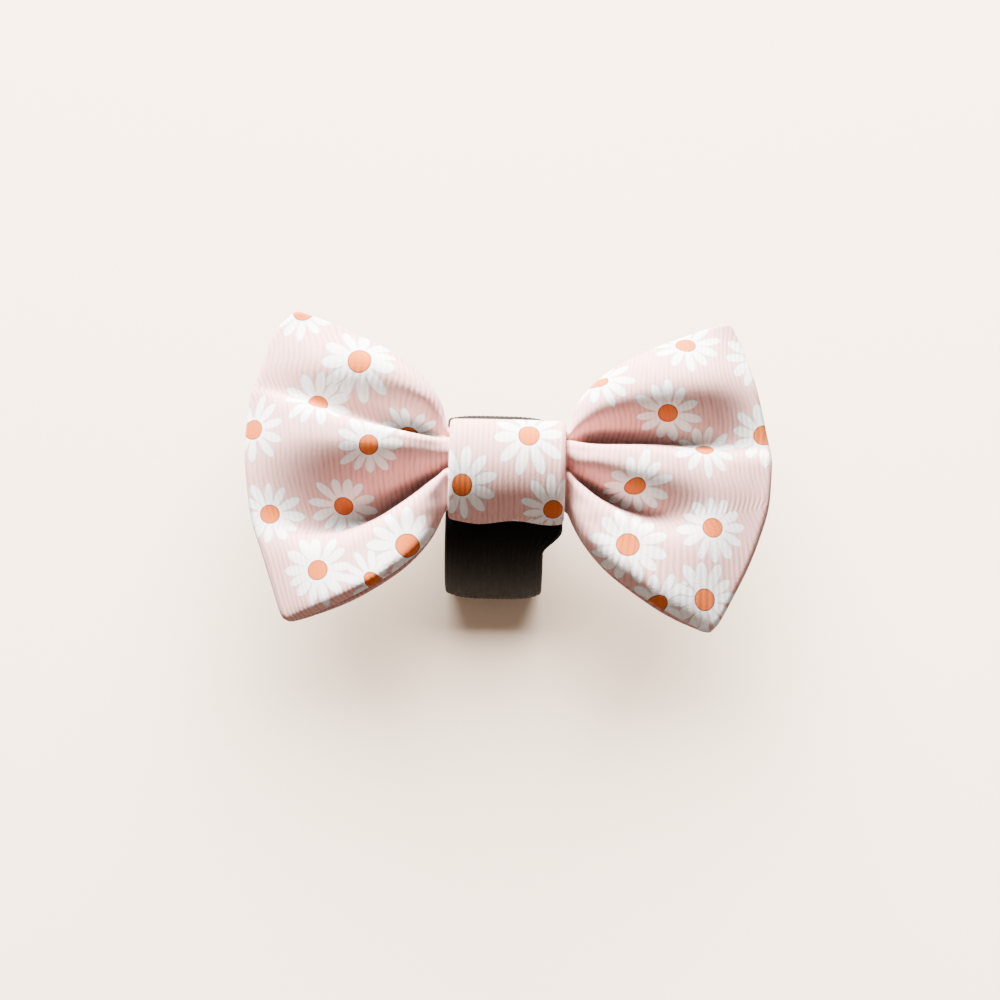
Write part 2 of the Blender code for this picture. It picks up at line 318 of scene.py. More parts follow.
def wing_corner(side, waist, fold, back, at, is_front):
    """One fold line of a wing, at a share of the way from the band to the end fold."""
    half_depth = WING_DEPTH / 2 - FABRIC_WALL / 2
    end_centre = fold.reach * BOW_LENGTH / 2 - FABRIC_WALL / 2 - END_FOLD_RADIUS + EVENING_LOSS
    root_y, root_z = waist_place(waist, is_front)
    end_y = fold.height * BOW_HEIGHT / 2
    x = WING_ROOT + (end_centre - WING_ROOT) * at
    y = root_y + (end_y - root_y) * at ** fold.fan + fold.sag * BOW_HEIGHT / 2 * math.sin(math.pi * at)
    shown = fold if is_front else back
    turn = END_FOLD_RADIUS if is_front else -END_FOLD_RADIUS
    rises = (root_z, shown.near * half_depth, shown.mid * half_depth, shown.far * half_depth,
             fold.tip * half_depth + turn)
    return np.array((side * x, y, curve_through(FOLD_STATIONS, rises, at)))


def length_along(points):
    return np.concatenate(([0.0], np.cumsum(np.linalg.norm(np.diff(points, axis=0), axis=1))))


def resampled(points, count):
    """Points at even steps along a line, without its last one."""
    points = np.array(points)
    along = length_along(points)
    wanted = np.linspace(0, along[-1], count + 1)[:-1]
    return np.column_stack([np.interp(wanted, along, points[:, axis]) for axis in range(3)])


def section_line(corners, at):
    """A rounded line through the fold corners, with the same number of points between folds."""
    softening = min(1.0, max(0.0, (at - SOFTENING_START) / SOFTENING_RUN))
    runs = [[corners[0]]]
    for index in range(1, len(corners) - 1):
        corner = corners[index]
        leg_in = corners[index - 1] - corner
        leg_out = corners[index + 1] - corner
        length_in = np.linalg.norm(leg_in)
        length_out = np.linalg.norm(leg_out)
        soft = WAIST[index].soft
        soft += (FULLY_SOFT - soft) * softening
        reach = soft * min(length_in, length_out)
        start = corner + leg_in / length_in * reach
        end = corner + leg_out / length_out * reach
        turn = -np.dot(leg_in, leg_out) / (length_in * length_out)
        weight = math.sqrt(max(0.0, (1 + turn) / 2))
        arc = []
        for step in range(CORNER_STEPS + 1):
            t = step / CORNER_STEPS
            shares = ((1 - t) ** 2, 2 * t * (1 - t) * weight, t * t)
            arc.append((start * shares[0] + corner * shares[1] + end * shares[2]) / sum(shares))
        middle = CORNER_STEPS // 2
        runs[-1].extend(arc[:middle + 1])
        runs.append(arc[middle:])
    runs[-1].append(corners[-1])
    parts = [resampled(run, count) for run, count in zip(runs, WING_COLUMNS)]
    return np.vstack(parts + [corners[-1][None, :]])


def laid_flat(corners):
    """The back's fold lines, which don't lap over each other as the front's do."""
    for above, below in zip(corners, corners[1:]):
        below[1] = min(below[1], above[1] - LEAST_STEP)
    return corners


def wing_sections(side, folds):
    """The sections of one wing: out along the front, round the end fold, in along the back."""
    rows = list(zip(WAIST, folds, BACK))
    sections = []
    for step in range(FRONT_STEPS + 1):
        at = step / FRONT_STEPS
        corners = [wing_corner(side, *row, at, True) for row in rows]
        sections.append(section_line(corners, at))
    tip = sections[-1]
    for step in range(1, TURN_STEPS):
        angle = math.pi * step / TURN_STEPS
        out = np.array((side * math.sin(angle), 0, math.cos(angle) - 1)) * END_FOLD_RADIUS
        sections.append(tip + out)
    for step in range(BACK_STEPS + 1):
        at = 1 - step / BACK_STEPS
        corners = laid_flat([wing_corner(side, *row, at, False) for row in rows])
        sections.append(section_line(corners, at))
    return sections


def waist_line(is_front):
    return section_line([np.array((0.0, *waist_place(row, is_front))) for row in WAIST], 0.0)


def between(start, end, steps):
    """The sections of the waist between its middle and a wing's first section."""
    shares = [step / steps for step in range(1, steps)]
    return [start * (1 - share) + end * share for share in shares]


right = wing_sections(1, RIGHT_WING)
left = wing_sections(-1, LEFT_WING)[::-1]
front_waist = waist_line(True)
back_waist = waist_line(False)
half_waist = WAIST_STEPS // 2
ring = [front_waist, *between(front_waist, right[0], half_waist), *right,
        *between(right[-1], back_waist, half_waist), back_waist,
        *between(back_waist, left[0], half_waist), *left,
        *between(left[-1], front_waist, half_waist)]
strip = np.array(ring)
back_middle = half_waist + len(right) + half_waist - 1
print("grid of the strip:", strip.shape[0], "sections of", strip.shape[1], "points")

# %% [markdown]
# ## Making it cloth
# Rounded straight lines still look like bent card. Real cloth evens its bends out, so the grid is
# averaged with its neighbours a few times. Then it gets what a sewn bow shows: slow hollows and
# swells over the wings, and short tension wrinkles that run out from the band. Both come from
# smooth noise with a fixed place, so every run gives the same bow.

# %% Smooth and wrinkle
EVENING_ROUNDS = 4
SWELL_HEIGHT = 0.00030
SWELL_SIZE = 0.013
WRINKLE_HEIGHT = 0.00045
WRINKLE_SPACING = 0.0022
WRINKLE_REACH = 0.006
WRINKLE_LENGTH = 0.012
WRINKLE_SPREAD = 0.02
WRINKLE_LAYER = 0.02
RELIEF_RUN = 0.003
LEAST_AREA = 1e-12


def evened(grid, rounds):
    for _ in range(rounds):
        along = (np.roll(grid, 1, axis=0) + np.roll(grid, -1, axis=0)) / 2
        across = grid.copy()
        across[:, 1:-1] = (grid[:, :-2] + grid[:, 2:]) / 2
        grid = grid * 0.5 + along * 0.25 + across * 0.25
    return grid


def grid_normals(grid):
    along = np.roll(grid, -1, axis=0) - np.roll(grid, 1, axis=0)
    across = np.gradient(grid, axis=1)
    normal = np.cross(across, along)
    return normal / np.maximum(np.linalg.norm(normal, axis=2, keepdims=True), LEAST_AREA)


def ramp(values, start, end):
    """0 before start, 1 after end, and a smooth step between."""
    share = np.clip((values - start) / (end - start), 0, 1)
    return share * share * (3 - 2 * share)


def cloth_relief(grid):
    """How far each point of the grid is lifted by swells and wrinkles."""
    relief = np.zeros(grid.shape[:2])
    for row in range(grid.shape[0]):
        for column in range(grid.shape[1]):
            x, y, z = grid[row, column]
            past_band = abs(x) - WING_ROOT
            if past_band <= 0:
                continue
            swell = noise.noise(Vector((x, y, z)) / SWELL_SIZE) * SWELL_HEIGHT
            spread = 1 + past_band / WRINKLE_SPREAD
            strand = Vector((y / WRINKLE_SPACING / spread, past_band / WRINKLE_LENGTH, z / WRINKLE_LAYER))
            wrinkle = noise.noise(strand) * WRINKLE_HEIGHT * math.exp(-past_band / WRINKLE_REACH)
            relief[row, column] = (swell + wrinkle) * min(1.0, past_band / RELIEF_RUN)
    return relief


strip = evened(strip, EVENING_ROUNDS)
relief = cloth_relief(strip)
strip = strip + grid_normals(strip) * relief[:, :, None]
strip = evened(strip, 1)
print("relief from", round(relief.min() / MM, 2), "to", round(relief.max() / MM, 2), "mm")

# %% [markdown]
# ## Lengths along the cloth
# A print and a weave live in the cloth, not in space, so the grid needs cloth lengths: how far each
# point is along its row from the front of the waist, and how far down its section from the upper
# edge. The first leaves out how a row fans up or down, because the ribs of the real cloth stay
# nearly upright. The second gives the size of the flat strip as well. How deep a point lies in a
# fold is measured too, for the shade that is painted there.

# %% Measure the cloth
FOLD_WINDOW = 14
WIDTH_PERCENTILE = 90


def running_length(steps, axes, direction):
    lengths = np.sqrt(sum(steps[:, :, axis] ** 2 for axis in axes))
    return np.cumsum(lengths, axis=direction)


def valley_depths(grid, window):
    """How far each point lies below the higher cloth on both sides of it, front and back alike."""
    rise = grid[:, :, 2] * np.sign(grid[:, :, 2].mean(axis=1, keepdims=True))
    depth = np.zeros(rise.shape)
    for column in range(rise.shape[1]):
        before = rise[:, max(0, column - window):column + 1].max(axis=1)
        after = rise[:, column:column + window + 1].max(axis=1)
        depth[:, column] = np.minimum(before, after) - rise[:, column]
    return depth


depths = valley_depths(strip, FOLD_WINDOW)
print("deepest fold:", round(float(depths.max()) / MM, 1), "mm")

run_along = running_length(np.diff(np.concatenate((strip, strip[:1])), axis=0), (0, 2), 0)
along_cloth = np.concatenate((np.zeros((1, strip.shape[1])), run_along))
strip_length = float(along_cloth[-1].mean())
along_cloth = along_cloth[:-1]
along_cloth[back_middle + 1:] -= run_along[-1]
down_cloth = np.zeros(strip.shape[:2])
down_cloth[:, 1:] = running_length(np.diff(strip, axis=1), (1, 2), 1)
strip_width = float(np.percentile(down_cloth[:, -1], WIDTH_PERCENTILE))
print("flat strip:", round(strip_length / MM), "by", round(strip_width / MM), "mm")

# %% [markdown]
# ## The bow's mesh
# The grid is the middle of the cloth. Half the wall goes to each side of it, and half-round rims
# close the upper and lower edges, as on a tube of cloth that has been turned and pressed. The band
# squeezes the gathered folds together, so the wall is thinner there.

# %% Skin the strip
RIM_STEPS = 4
GATHERED_WALL = 0.00025
GATHER_RUN = 0.010


def cloth_walls(grid):
    """The wall at each point of the grid: full on the wings, and squeezed where the cloth is gathered."""
    gathered = 1 - ramp(np.abs(grid[:, :, 0]), WING_ROOT, WING_ROOT + GATHER_RUN)
    return FABRIC_WALL + (GATHERED_WALL - FABRIC_WALL) * gathered


def skin(grid, walls):
    """Points round the wall of each section: outside, lower rim, inside, upper rim."""
    normal = grid_normals(grid)
    outside = grid + normal * walls[:, :, None] / 2
    inside = grid - normal * walls[:, :, None] / 2
    rims = []
    for column, inner in ((-1, -2), (0, 1)):
        outward = grid[:, column] - grid[:, inner]
        outward = outward / np.linalg.norm(outward, axis=1, keepdims=True)
        rim = []
        for step in range(1, RIM_STEPS):
            angle = math.pi * step / RIM_STEPS
            place = normal[:, column] * math.cos(angle) + outward * math.sin(angle)
            rim.append(grid[:, column] + place * walls[:, column, None] / 2)
        rims.append(np.stack(rim, axis=1))
    return np.concatenate((outside, rims[0], inside[:, ::-1], rims[1][:, ::-1]), axis=1)


def ring_faces(rows, columns):
    """Quads of a grid that closes in both directions."""
    index = np.arange(rows * columns).reshape(rows, columns)
    first = index
    second = np.roll(index, -1, axis=1)
    third = np.roll(second, -1, axis=0)
    fourth = np.roll(index, -1, axis=0)
    return np.stack((first, second, third, fourth), axis=2).reshape(-1, 4)


def mesh_object(name, points, faces):
    mesh = bpy.data.meshes.new(name)
    mesh.from_pydata(points.tolist(), [], faces.tolist())
    mesh.shade_smooth()
    mesh.update()
    return placed(name, mesh)


skin_points = skin(strip, cloth_walls(strip)) + np.array((0, 0, BOW_MIDDLE))
rows, around = skin_points.shape[:2]
bow = mesh_object("printed_bow", skin_points.reshape(-1, 3), ring_faces(rows, around))
columns = strip.shape[1]
outer = list(range(columns))
rim_steps = RIM_STEPS - 1
column_of = np.array([*outer, *[columns - 1] * rim_steps, *outer[::-1], *[0] * rim_steps])
# How deep each point lies in a fold, which sets the shade painted into the cloth's colour there
fold_shade = bow.data.attributes.new("fold_depth", "FLOAT", "POINT")
fold_shade.data.foreach_set("value", (depths / MM)[:, column_of].astype(np.float32).ravel())
print("bow:", len(bow.data.polygons), "faces")

# %% [markdown]
# ## The centre band
# The band is a strip wrapped round the waist, so its shape follows a rule: an oval path with a flat
# section swept along it. Geometry Nodes sweep the section, swell the middle of its width a little,
# and let the lower edge wave where soft cloth turns under.

# %% Sweep a flat strip along a closed path
BAND_PATH_STEPS = 132
BAND_WAVE = 0.0004
BAND_WAVE_LENGTH = 0.0137
BAND_WAVE_CENTRE = 0.0016
WAVE_FADE_POWER = 3.0
BAND_SECTION_POINTS = 92
SECTION_ROUNDING = 0.48
SECTION_CORNER_STEPS = 3
OVAL_STEPS = 720


def path_object(name, points, shares):
    """A closed line of edges, with named values on its points for the nodes to read."""
    mesh = bpy.data.meshes.new(name)
    count = len(points)
    edges = [(index, (index + 1) % count) for index in range(count)]
    mesh.from_pydata([tuple(point) for point in points], edges, [])
    for share, values in shares.items():
        mesh.attributes.new(share, "FLOAT", "POINT").data.foreach_set("value", values)
    return placed(name, mesh)


def node_inputs(tree, sockets):
    """Give a tree its geometry in and out and its named sizes, and return what the sizes feed."""
    tree.interface.new_socket("Geometry", in_out="INPUT", socket_type="NodeSocketGeometry")
    for kind, names in sockets.items():
        for name in names:
            tree.interface.new_socket(name, in_out="INPUT", socket_type="NodeSocket" + kind)
    tree.interface.new_socket("Geometry", in_out="OUTPUT", socket_type="NodeSocketGeometry")
    return tree.nodes.new("NodeGroupInput").outputs


def swept_strip(tree, sizes):
    """The nodes that sweep a flat section with rounded edges along the path."""
    path = add(tree, "GeometryNodeMeshToCurve", {"Mesh": sizes["Geometry"]})
    section = add(tree, "GeometryNodeCurvePrimitiveQuadrilateral",
                  {"Width": sizes["Width"], "Height": sizes["Wall"]})
    radius = add(tree, "MULTIPLY", sizes["Wall"], SECTION_ROUNDING)
    soft = add(tree, "GeometryNodeFilletCurve",
               {"Curve": section, "Count": SECTION_CORNER_STEPS, "Radius": radius}, mode="POLY")
    fine = add(tree, "GeometryNodeResampleCurve", {"Curve": soft, "Count": sizes["Section Points"]})
    return add(tree, "GeometryNodeCurveToMesh", {"Curve": path, "Profile Curve": fine})


def strip_places(tree, sizes):
    """Where a point of the swept strip is, its share of the half width, and the place without its x."""
    place = add(tree, "ShaderNodeSeparateXYZ", add(tree, "GeometryNodeInputPosition")).outputs
    from_middle = add(tree, "ADD", place["X"], sizes["Shift"])
    half_width = add(tree, "MULTIPLY", sizes["Width"], 0.5)
    across = add(tree, "DIVIDE", from_middle, half_width)
    return place, across, add(tree, "ShaderNodeCombineXYZ", {"Y": place["Y"], "Z": place["Z"]})


def move_and_dress(tree, swept, offset, material):
    """The nodes that move the points of the swept strip and give it its material."""
    moved = add(tree, "GeometryNodeSetPosition", {"Geometry": swept, "Offset": offset})
    real = add(tree, "GeometryNodeRealizeInstances", moved)
    finished = add(tree, "GeometryNodeSetMaterial", {"Geometry": real, "Material": material})
    add(tree, "NodeGroupOutput", {"Geometry": finished})


def run_nodes(path, tree, values, name):
    """Run a node tree on a path and keep the result as a plain mesh."""
    modifier = path.modifiers.new("sweep", "NODES")
    modifier.node_group = tree
    for item in tree.interface.items_tree:
        if item.item_type == "SOCKET" and item.in_out == "INPUT" and item.name in values:
            modifier[item.identifier] = values[item.name]
    depsgraph = bpy.context.evaluated_depsgraph_get()
    mesh = bpy.data.meshes.new_from_object(path.evaluated_get(depsgraph), depsgraph=depsgraph)
    mesh.name = name
    path.modifiers.remove(modifier)
    bpy.data.objects.remove(path)
    mesh.shade_smooth()
    return placed(name, mesh)


def band_point(angle):
    power = 2 / BAND_ROUNDING
    y = math.copysign(abs(math.cos(angle)) ** power, math.cos(angle)) * BAND_MID_HALF_HEIGHT
    z = math.copysign(abs(math.sin(angle)) ** power, math.sin(angle)) * BAND_MID_HALF_DEPTH
    return Vector((0, *tipped(y, z)))


oval = [band_point(2 * math.pi * (step + 0.5) / OVAL_STEPS) for step in range(OVAL_STEPS)]
oval = resampled([*oval, oval[0]], BAND_PATH_STEPS)
# The path starts behind the waist and runs along Y there, so that the section's width lies on X
oval = np.roll(oval[::-1], -BAND_PATH_STEPS // 4, axis=0)
print("band path:", len(oval), "points")

# %% Band nodes
tree = bpy.data.node_groups.new("centre_band", "GeometryNodeTree")
sizes = node_inputs(tree, {
    "Float": ("Width", "Wall", "Shift", "Crown", "Wave Height", "Wave Length", "Wave Centre", "Half Height"),
    "Int": ("Section Points",), "Vector": ("Place",), "Material": ("Cloth",)})
swept = swept_strip(tree, sizes)
place, across, from_path = strip_places(tree, sizes)
squared = add(tree, "MULTIPLY", across, across)
swell = add(tree, "SUBTRACT", 1.0, squared)
crown = add(tree, "MULTIPLY", swell, sizes["Crown"])
outward = add(tree, VECTOR_MATH, from_path, operation="NORMALIZE")
lift = add(tree, VECTOR_MATH, {0: outward, "Scale": crown}, operation="SCALE")
wave = chain(tree, place["X"], ("SUBTRACT", sizes["Wave Centre"]), ("DIVIDE", sizes["Wave Length"]),
             ("MULTIPLY", math.tau), ("COSINE", 0.0), ("MULTIPLY", sizes["Wave Height"]))
# The wave is in the lower edge alone
low = add(tree, "DIVIDE", place["Y"], sizes["Half Height"])
low = add(tree, "MULTIPLY", low, -1.0, use_clamp=True)
low = add(tree, "POWER", low, WAVE_FADE_POWER)
wave = add(tree, "MULTIPLY", wave, low)
wave = add(tree, "ShaderNodeCombineXYZ", {"Y": wave})
offset = add(tree, VECTOR_MATH, lift, wave, operation="ADD")
offset = add(tree, VECTOR_MATH, offset, sizes["Place"], operation="ADD")
move_and_dress(tree, swept, offset, sizes["Cloth"])

cloth = bpy.data.materials.new("ribbed_cotton_with_printed_daisies")
band = run_nodes(
    path_object("band_path", oval, {}), tree,
    {"Width": BAND_WIDTH, "Wall": BAND_WALL, "Section Points": BAND_SECTION_POINTS,
     "Shift": 0.0, "Crown": BAND_SWELL, "Wave Height": BAND_WAVE, "Wave Length": BAND_WAVE_LENGTH,
     "Wave Centre": BAND_WAVE_CENTRE, "Half Height": BAND_HALF_HEIGHT,
     "Place": (0.0, 0.0, BOW_MIDDLE), "Cloth": cloth},
    "printed_centre_band")
print("band:", len(band.data.polygons), "faces, size in mm",
      [round(side / MM, 2) for side in band.dimensions])

# %% [markdown]
# ## The elastic loop
# Flat braided elastic has fine ribs along its length. It follows a path too: flat under the band,
# round each side, and flat where it rests. The nodes sweep its section and raise the ribs, curl the
# free sides' edges in, and pull one corner out where the band grips it.

# %% Elastic path
ELASTIC_WIDTH = 0.019
ELASTIC_WALL = 0.0013
LOOP_FOOT_LENGTH = 0.016
LOOP_FOOT_SHIFT = 0.0038
LOOP_BELOW = 0.0209
LOOP_ABOVE = 0.0127
ELASTIC_CURL = 0.0013
ELASTIC_SHIFT = 0.0022
FLARE_LENGTH = 0.0050
GRIPPED_LENGTH = 0.016
LOOP_TOP = LOOP_HEIGHT - ELASTIC_WALL / 2
LOOP_BOTTOM = ELASTIC_WALL / 2
LOOP_RUN_STEPS = 22
LOOP_SIDE_STEPS = 44


def side_run(start, end, bulge):
    """One side of the loop, from its seat to its foot: places with how far round the side each is."""
    # A cubic curve passes its middle at three quarters of its handles' reach
    handle = (bulge - (start.x + end.x) / 2) * 4 / 3
    points = []
    for step in range(1, LOOP_SIDE_STEPS):
        t = step / LOOP_SIDE_STEPS
        y = ((1 - t) ** 3 * start.x + 3 * t * (1 - t) ** 2 * (start.x + handle)
             + 3 * t * t * (1 - t) * (end.x + handle) + t ** 3 * end.x)
        z = start.y + (end.y - start.y) * t * t * (3 - 2 * t)
        points.append((Vector((y, z)), math.sin(math.pi * t)))
    return points


def flat_run(start, end):
    return [(start.lerp(end, step / LOOP_RUN_STEPS), 0.0) for step in range(LOOP_RUN_STEPS + 1)]


def flare_at(point):
    """How far the elastic's right edge is pulled out: under the band, and just past its lower edge."""
    most = BAND_WIDTH / 2 - (ELASTIC_WIDTH / 2 - ELASTIC_SHIFT)
    fade = GRIPPED_LENGTH if point.x > -BAND_HALF_HEIGHT else FLARE_LENGTH
    away = (point - seat_lower).length / fade
    return most * (1 - away * away) ** 2 if away < 1 else 0.0


seat_upper = Vector((BAND_HALF_HEIGHT, LOOP_TOP))
seat_lower = Vector((-BAND_HALF_HEIGHT, LOOP_TOP))
foot_upper = Vector((LOOP_FOOT_LENGTH / 2 - LOOP_FOOT_SHIFT, LOOP_BOTTOM))
foot_lower = Vector((-LOOP_FOOT_LENGTH / 2 - LOOP_FOOT_SHIFT, LOOP_BOTTOM))
outline = (flat_run(seat_lower, seat_upper)
           + side_run(seat_upper, foot_upper, LOOP_ABOVE - ELASTIC_WALL / 2)
           + flat_run(foot_upper, foot_lower)
           + side_run(seat_lower, foot_lower, ELASTIC_WALL / 2 - LOOP_BELOW)[::-1])
loop_points = [Vector((-ELASTIC_SHIFT, place.x, place.y)) for place, side in outline]
elastic_length = sum((after - before).length
                     for before, after in zip(loop_points, loop_points[1:] + loop_points[:1]))
print("elastic round the loop:", round(elastic_length / MM), "mm")

# %% Elastic nodes
ELASTIC_RIBS = 21.0
ELASTIC_RIB_HEIGHT = 0.00004
ELASTIC_SECTION_POINTS = 260
CURL_POWER = 4.0
FLARE_POWER = 2.0

tree = bpy.data.node_groups.new("elastic_loop", "GeometryNodeTree")
sizes = node_inputs(tree, {"Float": ("Width", "Wall", "Shift", "Curl", "Ribs", "Rib Height"),
                           "Int": ("Section Points",), "Vector": ("Loop Middle",),
                           "Material": ("Elastic",)})
swept = swept_strip(tree, sizes)
place, across, from_path = strip_places(tree, sizes)
ribs = chain(tree, across, ("MULTIPLY", sizes["Ribs"]), ("MULTIPLY", math.pi), ("COSINE", 0.0),
             ("MULTIPLY", sizes["Rib Height"]))
normal = add(tree, "GeometryNodeInputNormal")
raised = add(tree, VECTOR_MATH, {0: normal, "Scale": ribs}, operation="SCALE")
side, flare = [add(tree, "GeometryNodeInputNamedAttribute", {"Name": name}, data_type="FLOAT")
               for name in ("side", "flare")]
curl = chain(tree, across, ("POWER", CURL_POWER), ("MULTIPLY", side), ("MULTIPLY", sizes["Curl"]))
inward = add(tree, VECTOR_MATH, sizes["Loop Middle"], from_path, operation="SUBTRACT")
inward = add(tree, VECTOR_MATH, inward, operation="NORMALIZE")
curl = add(tree, VECTOR_MATH, {0: inward, "Scale": curl}, operation="SCALE")
pulled = add(tree, "MULTIPLY", across, 1.0, use_clamp=True)
pulled = chain(tree, pulled, ("POWER", FLARE_POWER), ("MULTIPLY", flare))
pulled = add(tree, "ShaderNodeCombineXYZ", {"X": pulled})
offset = add(tree, VECTOR_MATH, raised, curl, operation="ADD")
offset = add(tree, VECTOR_MATH, offset, pulled, operation="ADD")
move_and_dress(tree, swept, offset, sizes["Elastic"])

braid = bpy.data.materials.new("braided_black_elastic")
shares = {"side": [side for place, side in outline], "flare": [flare_at(place) for place, side in outline]}
elastic = run_nodes(
    path_object("elastic_path", loop_points, shares), tree,
    {"Width": ELASTIC_WIDTH, "Wall": ELASTIC_WALL - 2 * ELASTIC_RIB_HEIGHT,
     "Section Points": ELASTIC_SECTION_POINTS, "Shift": ELASTIC_SHIFT, "Curl": ELASTIC_CURL,
     "Ribs": ELASTIC_RIBS, "Rib Height": ELASTIC_RIB_HEIGHT,
     "Loop Middle": (0.0, -LOOP_FOOT_SHIFT, LOOP_HEIGHT / 2), "Elastic": braid},
    "braided_elastic_loop")
print("elastic:", len(elastic.data.polygons), "faces, size in mm",
      [round(side / MM, 2) for side in elastic.dimensions])

# %% [markdown]
# ## Where the daisies are
# The print is daisies strewn over pink. The chart gives the photo's pixel for each daisy's middle.
# A ray from the camera finds the cloth there. Aside and above move the middle on from that place,
# in millimetres along the cloth, for a daisy whose middle is hidden in a fold or past an edge. The
# back of the bow isn't in the photo, so its daisies are strewn with a fixed seed.

# %% Chart of the daisies
Daisy = namedtuple("Daisy", "across down petals turn size aside above", defaults=(0.0, 0.0))
CHART = (
    Daisy(360, 360, 11, 0.3, 1.16),
    Daisy(319, 404, 11, 0.9, 1.00),
    Daisy(368, 445, 12, 0.1, 0.94),
    Daisy(411, 428, 11, 0.5, 0.94, -0.4, -1.6),
    Daisy(253, 430, 11, 0.2, 1.00),
    Daisy(271, 513, 12, 0.0, 0.98),
    Daisy(344, 504, 12, 0.4, 0.95),
    Daisy(318, 570, 13, 0.2, 1.00),
    Daisy(408, 545, 12, 0.6, 1.15),
    Daisy(374, 580, 11, 0.0, 0.95, 0.0, -0.6),
    Daisy(303, 316, 12, 0.0, 1.00, 0.0, 1.0),
    Daisy(529, 435, 10, 0.1, 1.05),
    Daisy(462, 485, 11, 0.3, 1.00),
    Daisy(553, 510, 11, 0.0, 0.95),
    Daisy(686, 345, 11, 0.3, 1.00),
    Daisy(599, 386, 11, 0.0, 1.00, 0.0, 1.4),
    Daisy(667, 412, 11, 1.57, 0.98),
    Daisy(761, 434, 11, 0.2, 1.00, 0.6),
    Daisy(706, 457, 11, 0.2, 0.95, 0.0, 2.4),
    Daisy(635, 488, 12, 0.2, 1.02),
    Daisy(628, 545, 12, 0.3, 1.15),
    Daisy(713, 528, 12, 0.1, 0.98),
    Daisy(704, 600, 12, 0.1, 1.08),
    Daisy(657, 603, 11, 0.0, 0.98),
    Daisy(742, 357, 11, 0.4, 1.00, 3.0),
)
# Daisies behind the bow: how often one is tried, how far apart and from a wing's end they keep
BACK_TRIES = 1800
BACK_SPACING = 0.0118
BACK_MARGIN = 0.0065
BACK_PETALS = (11, 14)
BACK_SIZES = (0.94, 1.08)
DAISY_SEED = 11
daisy_draws = np.random.default_rng(DAISY_SEED)
print("daisies in the chart:", len(CHART))

# %% Find the cloth under each daisy


def tree_of(obj):
    mesh = obj.data
    return BVHTree.FromPolygons([vertex.co for vertex in mesh.vertices],
                                [tuple(polygon.vertices) for polygon in mesh.polygons])


bow_surface = tree_of(bow)
band_surface = tree_of(band)
# The row and column of the strip's grid under a daisy's middle, and how the daisy is drawn
Flower = namedtuple("Flower", "row column petals turn size aside above")
bow_flowers = []
band_flowers = []
for daisy in CHART:
    ray = ray_through(daisy.across, daisy.down).normalized()
    on_bow = bow_surface.ray_cast(camera_place, ray)
    on_band = band_surface.ray_cast(camera_place, ray)
    looks = (daisy.petals, daisy.turn, daisy.size, daisy.aside * MM, daisy.above * MM)
    if on_band[0] is not None and (on_bow[0] is None or on_band[3] < on_bow[3]):
        band_flowers.append((on_band[0], *looks))
    elif on_bow[0] is not None:
        corner = min(bow.data.polygons[on_bow[2]].vertices,
                     key=lambda index: (bow.data.vertices[index].co - on_bow[0]).length)
        bow_flowers.append(Flower(corner // around, int(column_of[corner % around]), *looks))
    else:
        print("no cloth under the daisy at", daisy.across, daisy.down)
front_count = len(bow_flowers)
taken = [strip[flower.row, flower.column] for flower in bow_flowers]
wing_end = np.abs(strip[:, :, 0]).max(axis=1)
back_rows = [row for row in range(rows)
             if strip[row, :, 2].mean() < 0 and WING_ROOT < wing_end[row] < BOW_LENGTH / 2 - BACK_MARGIN]
for _ in range(BACK_TRIES):
    row = int(daisy_draws.choice(back_rows))
    column = int(daisy_draws.integers(0, columns))
    petals = int(daisy_draws.integers(*BACK_PETALS))
    turn = float(daisy_draws.uniform(0, math.tau))
    size = float(daisy_draws.uniform(*BACK_SIZES))
    place = strip[row, column]
    if min(np.linalg.norm(place - other) for other in taken) > BACK_SPACING:
        taken.append(place)
        bow_flowers.append(Flower(row, column, petals, turn, size, 0.0, 0.0))
print("daisies on the bow:", front_count, "in front,", len(bow_flowers) - front_count, "behind;",
      "on the band:", len(band_flowers), "in front")

# %% [markdown]
# ## Printing them on the cloth
# A daisy is drawn by a shader from one small map: how far right of and above the daisy's middle a
# point of the cloth is. So each face is given its nearest daisy and its second nearest, and its
# corners get those two places as UV maps, in millimetres along the cloth. A third map, across and
# along the ribs, is for the weave. Because the maps are lengths of cloth, a daisy bends and
# foreshortens with the folds, as a real print does.

# %% Local places round each daisy
FAR = 99.0
DRAWN_REACH = 9.5
MOST_STRETCH = 1.5
MOST_SLOPE = 2.0
LEAST_LENGTH = 1e-6
SEED_STEP = 1.37

row_is_front = np.abs(along_cloth.mean(axis=1)) < strip_length / 4


def cloth_share(lengths, places, before, after, most):
    """The cloth's length for each length in space between two rows or columns."""
    steps = np.maximum(abs(places[after] - places[before]), LEAST_LENGTH)
    return np.clip(abs(lengths[after] - lengths[before]) / steps, 1.0, most)


def bow_places(flower):
    """Right of and above a daisy, in mm along the cloth, for every point of the bow."""
    row, column = flower.row, flower.column
    is_front = 1.0 if row_is_front[row] else -1.0
    all_x, all_y = strip[:, :, 0], strip[:, :, 1]
    stretch = cloth_share(along_cloth, all_x, (row - 1) % rows, (row + 1) % rows, MOST_STRETCH)
    middle_along = along_cloth[row] + is_front * stretch * (all_x[row, column] - all_x[row])
    aside = along_cloth - middle_along[None, :] - flower.aside
    slope = cloth_share(down_cloth.T, all_y.T, max(column - 1, 0), min(column + 1, columns - 1), MOST_SLOPE)
    middle_down = down_cloth[:, column] + slope * (all_y[:, column] - all_y[row, column])
    above = middle_down[:, None] - down_cloth - flower.above
    places = np.stack((aside, above), axis=2)[:, column_of] / MM / flower.size
    return places.reshape(-1, 2)


def read_all(items, name):
    values = np.zeros(len(items), dtype=np.int64)
    items.foreach_get(name, values)
    return values


